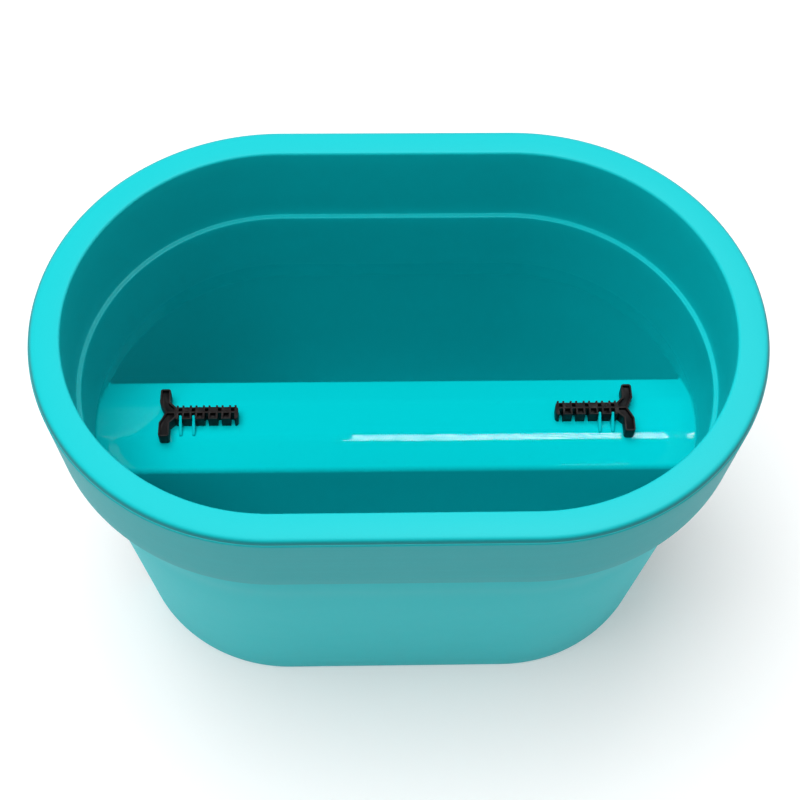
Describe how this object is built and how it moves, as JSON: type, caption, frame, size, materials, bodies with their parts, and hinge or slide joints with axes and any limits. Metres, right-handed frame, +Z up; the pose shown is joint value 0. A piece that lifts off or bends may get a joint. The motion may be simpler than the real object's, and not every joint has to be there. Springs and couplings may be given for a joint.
{
  "type": "railing planter",
  "caption": "Stadium-shaped plastic planting tub with a wide rim, a hanging outer band and a raised tunnel that straddles a balcony rail, with toothed rail-width clips.",
  "frame": {"origin": "centre of the footprint, on the plane that the base stands on", "axes": "+X along the tub and its rail tunnel, -Y towards the front, where the clip fins slope down, +Z up"},
  "size_m": [0.4, 0.266, 0.251],
  "materials": {
    "tub_plastic": "turquoise, satin with a fine grain outside and on the rim, glossy inside",
    "clip_plastic": "black, slightly sheened moulded plastic"
  },
  "bodies": {
    "tub": {"tub": "tub_plastic"},
    "clip_left": {"clip_left": "clip_plastic"},
    "clip_right": {"clip_right": "clip_plastic"}
  },
  "joints": [
    {"name": "clip_left_lift", "type": "slide", "parent": "tub", "child": "clip_left", "axis": [0, 0, 1], "range_m": [0, 0.12]},
    {"name": "clip_right_lift", "type": "slide", "parent": "tub", "child": "clip_right", "axis": [0, 0, 1], "range_m": [0, 0.12]}
  ]
}
